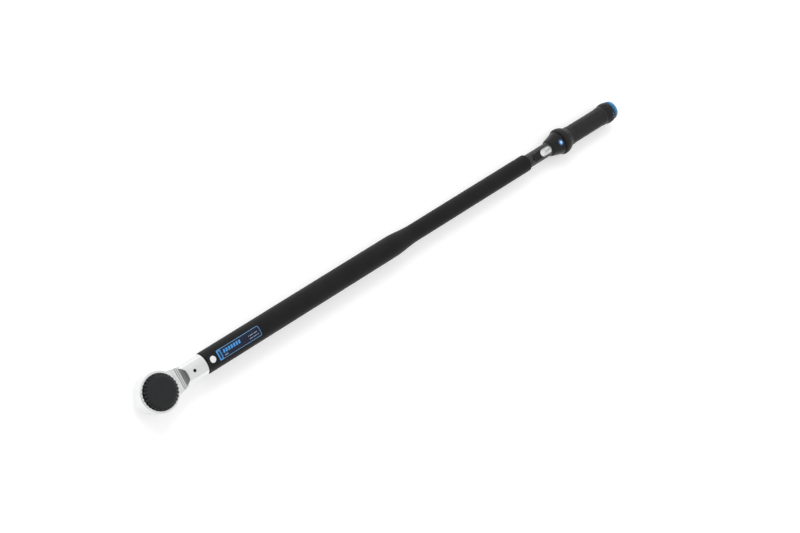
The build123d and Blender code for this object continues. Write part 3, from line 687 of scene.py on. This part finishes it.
knob_outline = [
    (sleeve_low, SCREW_BORE),
    (sleeve_low, HUB_OUT),
    (knob_start + 5, HUB_OUT),
    (knob_start + 5, WAIST - 2.2),
    (knob_start, WAIST - 1.6),
    (knob_start, WAIST),
    (knob_start + 2.6, WAIST),
    *rim_line,
    *dome_line,
    (knob_high - 0.2, SCREW_RECESS + 0.5),
    (knob_high - 0.6, SCREW_RECESS),
    (knob_end - 4.4, SCREW_RECESS),
    (knob_end - 4.4, SCREW_BORE),
]
knob = turned("lock_knob_moulding", knob_outline, "X", 192, "lock", "knob_blue")
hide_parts("lock_knob")

# ---------------------------------------------------------------- label print
label_low, label_high = span("label_plate")
label_radius = span("label_plate", 2)[1]


def printed(name, shapes, radius, body, paint, thickness=0.03):
    """Thin printed shapes wrapped on a round part: each is four corners (x, arc) in millimetres,
    the arc measured round from the top."""
    points, faces = [], []
    steps = 8
    for corners in shapes:
        first = len(points)
        a, b, c, d = (Vector(p) for p in corners)
        for i in range(steps + 1):
            t = i / steps
            for end in (a.lerp(d, t), b.lerp(c, t)):
                angle = end.y / radius
                for height in (radius - 0.05, radius + thickness):
                    points.append((end.x, height * math.sin(angle), height * math.cos(angle)))
        for i in range(steps):
            p = first + i * 4
            for u, v in ((0, 2), (2, 3), (3, 1), (1, 0)):
                faces.append((p + u, p + v, p + 4 + v, p + 4 + u))
        faces.append((first, first + 1, first + 3, first + 2))
        last = first + steps * 4
        faces.append((last, last + 2, last + 3, last + 1))
    return piece(name, points, faces, body, paint)


def bar(x, y, long, wide, lean=0.0):
    """Corners of a bar: x to x+long, y to y+wide, leaning forward by lean."""
    return ((x, y), (x + long, y), (x + long + lean, y + wide), (x + lean, y + wide))


LABEL_ARC = math.radians(28)  # half the angle that the label covers
EDGE, LINE, CHAMFER, LAP = 0.55, 0.72, 1.6, 0.1
left, right = label_low + EDGE, label_high - EDGE
low, high = -LABEL_ARC * label_radius + EDGE, LABEL_ARC * label_radius - EDGE


def corner(x, x_side, y, y_side):
    """The cut corner of the border at (x, y); the sides say which way the label lies from it."""
    reach = CHAMFER + LAP
    first, *rest = [
        (x + x_side * LAP, y + y_side * (CHAMFER - LAP)),
        (x + x_side * reach, y),
        (x + x_side * reach, y + y_side * LINE),
        (x + x_side * LINE, y + y_side * reach),
    ]
    return (first, *rest) if x_side == y_side else (first, *reversed(rest))


frame_bars = [
    bar(left + CHAMFER, high - LINE, right - left - 2 * CHAMFER, LINE),
    bar(left + CHAMFER, low, right - left - 2 * CHAMFER, LINE),
    bar(right - LINE, low + CHAMFER, LINE, high - low - 2 * CHAMFER),
    *(corner(x, i, y, j) for x, i in ((left, 1), (right, -1)) for y, j in ((low, 1), (high, -1))),
]
block_bars = [
    bar(left, low + 1.5, 2.6, high - low - 3.0),
    bar(left + 5.6, low + 0.6, 2.8, high - low - 1.2),
    bar(left + 2.4, high - 2.6, 3.4, 1.9),
    bar(left + 2.4, low + 0.7, 3.4, 1.9),
]
word_bars = [bar(left + 11.6 + 5.5 * k, -0.9, 3.7, 6.4, 1.4) for k in range(7)]
small_bars = [bar(left + 12.0 + 2.5 * k, -5.7, 1.7, 1.9, 0.5) for k in range(3)]
row_bars = [
    bar(right - 25.0 + 2.9 * k, y, 2.0 if (k + row) % 3 else 1.2, 1.3)
    for row, y in enumerate((0.6, -4.4))
    for k in range(7)
]
for name, shapes, colour in (
    ("label_frame_print", frame_bars, "sky"),
    ("label_block_print", block_bars, "blue"),
    ("label_bar_print", word_bars, "blue"),
    ("label_small_print", small_bars + row_bars, "pale"),
):
    printed(name, shapes, label_radius, "tube", inks[colour])

# ---------------------------------------------------------------- scale print, index line, marker
strip_low, strip_high = span("scale_strip")
strip_top = span("scale_strip", 2)[1]
lens_low, lens_high = span("window_lens")
lens_top = span("window_lens", 2)[1]
window_x = (lens_low + lens_high) / 2
PER_MM = 15.0  # newton metres for each millimetre of scale travel
SCALE_LOW, SCALE_HIGH, SCALE_STEP, TICK_STEP = 150, 750, 50, 10
DIGIT_SIZE, DIGIT_STRETCH = 3.4, (1.12, 0.92, 1.0, 1.0)


def flat_bars(name, boxes, top, body, paint, thickness=0.03):
    """Thin printed bars on a level face: each is (x, y, length, width) about its middle."""
    points, faces = [], []
    for x, y, long, wide in boxes:
        first = len(points)
        for z in (top - 0.03, top + thickness):
            for sx, sy in ((-1, -1), (1, -1), (1, 1), (-1, 1)):
                points.append((x + sx * long / 2, y + sy * wide / 2, z))
        sides = [(k, (k + 1) % 4, (k + 1) % 4 + 4, k + 4) for k in range(4)]
        for quad in ((3, 2, 1, 0), (4, 5, 6, 7), *sides):
            faces.append(tuple(first + q for q in quad))
    return piece(name, points, faces, body, paint)


ticks = []
for value in range(SCALE_LOW - 200, SCALE_HIGH + 150, TICK_STEP):
    x = window_x + (value - SCALE_LOW) / PER_MM
    if strip_low + 1 < x < strip_high - 1:
        reach = 1.9 if value % SCALE_STEP == 0 else 1.0
        ticks += [(x, side * (6.9 - reach / 2), 0.16, reach) for side in (1, -1)]
flat_bars("scale_ticks_print", ticks, strip_top, "carriage", inks["grey"])

# the numbers are set as text and joined into one printed mesh
digits = bmesh.new()
for value in range(SCALE_LOW, SCALE_HIGH + 1, SCALE_STEP):
    text = bpy.data.curves.new("digits", "FONT")
    text.body = str(value)
    text.size = DIGIT_SIZE * MM
    text.extrude = 0.015 * MM
    text.align_x = "CENTER"
    text.align_y = "CENTER"
    text.resolution_u = 3
    setting = bpy.data.objects.new("digits", text)
    solid = bpy.data.meshes.new_from_object(setting)
    place = Vector((window_x + (value - SCALE_LOW) / PER_MM, 0, strip_top + 0.02)) * MM
    turn = Matrix.Rotation(-math.pi / 2, 4, "Z") @ Matrix.Diagonal(DIGIT_STRETCH)
    solid.transform(Matrix.Translation(place) @ turn)
    digits.from_mesh(solid)
    bpy.data.objects.remove(setting)
    bpy.data.meshes.remove(solid)
    bpy.data.curves.remove(text)
digit_mesh = bpy.data.meshes.new("scale_digits_print")
digits.to_mesh(digit_mesh)
digits.free()
digit_mesh.materials.append(inks["grey"])
digit_print = bpy.data.objects.new("scale_digits_print", digit_mesh)
bpy.context.scene.collection.objects.link(digit_print)
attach(digit_print, "carriage")

index_line = [(window_x, side * 6.3, 0.4, 1.6) for side in (1, -1)]
flat_bars("window_index_print", index_line, lens_top, "tube", inks["black"])

MARKER_X = 971.0
MARKER_LONG, MARKER_WIDE = 10.2 / 2, 13.6 / 2
MARKER_INSET = 0.2
cone_end = span("cone_housing")[1]
cone_radius = span("cone_housing", 1)[1]
CONE_SLOPE = 0.2727


def oval(name, inner, outer, rise, paint):
    """Part of the oval inlay between two shares of its size, crowned by rise in millimetres."""
    rings, count, depth = 8, 64, 2.2
    points, faces = [], []
    for layer in (0, 1):
        for i in range(rings + 1):
            share = inner + (outer - inner) * i / rings
            for k in range(count):
                turn = 2 * math.pi * k / count
                x = MARKER_X + share * MARKER_LONG * math.cos(turn)
                y = share * MARKER_WIDE * math.sin(turn)
                away = cone_radius - (cone_end - x) * CONE_SLOPE - MARKER_INSET
                away += rise * (1 - share * share) - layer * depth
                points.append((x, y, math.sqrt(away * away - y * y)))
    layer_size = (rings + 1) * count
    for k in range(count):
        m = (k + 1) % count
        for i in range(rings):
            a, b = i * count, (i + 1) * count
            faces.append((a + k, b + k, b + m, a + m))
            under = (a + m, b + m, b + k, a + k)
            faces.append(tuple(layer_size + v for v in under))
        for i, flip in ((rings, 1), (0, -1)):
            a = i * count
            side = (a + k, layer_size + a + k, layer_size + a + m, a + m)
            faces.append(side[::flip])
    if inner == 0:
        faces = [f for f in faces if len({points[i] for i in f}) > 2]
    return piece(name, points, faces, "tube", paint, sharp=50)


marker_edge = oval("marker_edge", 0.71, 1.0, 0.0, inks["navy"])
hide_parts("marker_inlay")
oval("marker_band", 0.36, 0.70, 0.45, inks["gem"])
# the pale centre of the marker is a painted highlight on its crowned inlay
oval("marker_highlight_centre", 0.0, 0.35, 0.45, inks["glint"])

# two small pale marks on the end ring
mark_radius = ring_radius - 0.1
wide_end, narrow_end = ring_end - 5.4, ring_end - 3.6
marks = [
    ((wide_end, -5.2), (narrow_end, -6.1), (narrow_end, -6.3), (wide_end, -7.2)),
    bar(ring_end - 5.2, -13.2, 1.5, 1.5),
]
printed("end_ring_marks", marks, mark_radius, "grip", inks["white"], 0.12)

# ---------------------------------------------------------------- floor, light and camera
# the wrench rests on its square and on the crest of the collar, so the floor leans to meet both
COLLAR_CREST, FLOOR_GAP = 0.0043, 0.0002
head_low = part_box("drive_square")[0]
collar_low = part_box("grip_collar")[0]
floor_slope = math.atan2(collar_low.z - head_low.z, collar_low.x + COLLAR_CREST)
bpy.ops.mesh.primitive_grid_add(x_subdivisions=2, y_subdivisions=2, size=40.0)
floor = bpy.context.object
floor.name = "floor"
floor.rotation_euler = (0, -floor_slope, 0)
floor.location = (0, 0, head_low.z - FLOOR_GAP)
floor_paint = finish(
    "floor_paint", (0.84, 0.84, 0.84), (0.825, 0.825, 0.825), (0.7, 0.8), 0.003, 0.00002,
    mottle=0.4, Emission_Color=(1.0, 1.0, 1.0, 1.0), Emission_Strength=0.27,
)
floor.data.materials.append(floor_paint)

SKY_STRENGTH = 1.05
world = bpy.data.worlds.new("studio")
bpy.context.scene.world = world
world.use_nodes = True
sky = world.node_tree
direction = new(sky, "ShaderNodeTexCoord").outputs["Generated"]
split = new(sky, "ShaderNodeSeparateXYZ", Vector=direction)
# an almost even dome, a little brighter towards +Y, with a dark gap low beyond the head
dome = math_node(
    sky,
    "ADD",
    remap(sky, split.outputs[2], 0.15, 0.85, 0.88, 0.86),
    remap(sky, split.outputs[1], 0.2, 0.9, 0.0, 0.11),
)
gap = math_node(
    sky,
    "MULTIPLY",
    remap(sky, split.outputs[0], -0.7, -0.93, 0.0, 1.0),
    remap(sky, split.outputs[2], 0.55, 0.42, 0.0, 0.8),
)
glow = math_node(sky, "SUBTRACT", dome, gap)
background = sky.nodes["Background"]
sky.links.new(mix(sky, glow, (0.0, 0.0, 0.0), (1.0, 1.0, 1.0)), background.inputs["Color"])
background.inputs["Strength"].default_value = SKY_STRENGTH


def softbox(name, place, aim, size, power):
    """A soft rectangular light that neither the camera nor the chrome sees."""
    light = bpy.data.lights.new(name, "AREA")
    light.shape = "RECTANGLE"
    light.size, light.size_y = size
    light.energy = power
    lamp = bpy.data.objects.new(name, light)
    bpy.context.scene.collection.objects.link(lamp)
    lamp.location = place
    lamp.rotation_euler = (Vector(place) - Vector(aim)).to_track_quat("Z", "Y").to_euler()
    lamp.visible_camera = False
    lamp.visible_glossy = False


softbox("key_light", (0.3, 2.2, 2.4), (0.5, 0, 0), (2.4, 1.6), 45)

aim = Vector((0.533, -0.0395, 0.0))
distance, lens_length = 3.277, 81.2
azimuth, elevation, roll = (math.radians(a) for a in (256.6, 58.4, 73.3))
back = Vector(
    (
        math.sin(azimuth) * math.cos(elevation),
        -math.cos(azimuth) * math.cos(elevation),
        math.sin(elevation),
    )
)
level_right = Vector((0, 0, 1)).cross(back).normalized()
level_up = back.cross(level_right)
camera_right = level_right * math.cos(roll) + level_up * math.sin(roll)
camera_up = back.cross(camera_right)
camera_data = bpy.data.cameras.new("camera")
camera_data.lens = lens_length
camera_data.sensor_width = 36.0
camera = bpy.data.objects.new("camera", camera_data)
bpy.context.scene.collection.objects.link(camera)
turn = Matrix((camera_right, camera_up, back)).transposed()
camera.matrix_world = Matrix.Translation(aim + back * distance) @ turn.to_4x4()
bpy.context.scene.camera = camera
bpy.context.scene.view_settings.view_transform = "Standard"
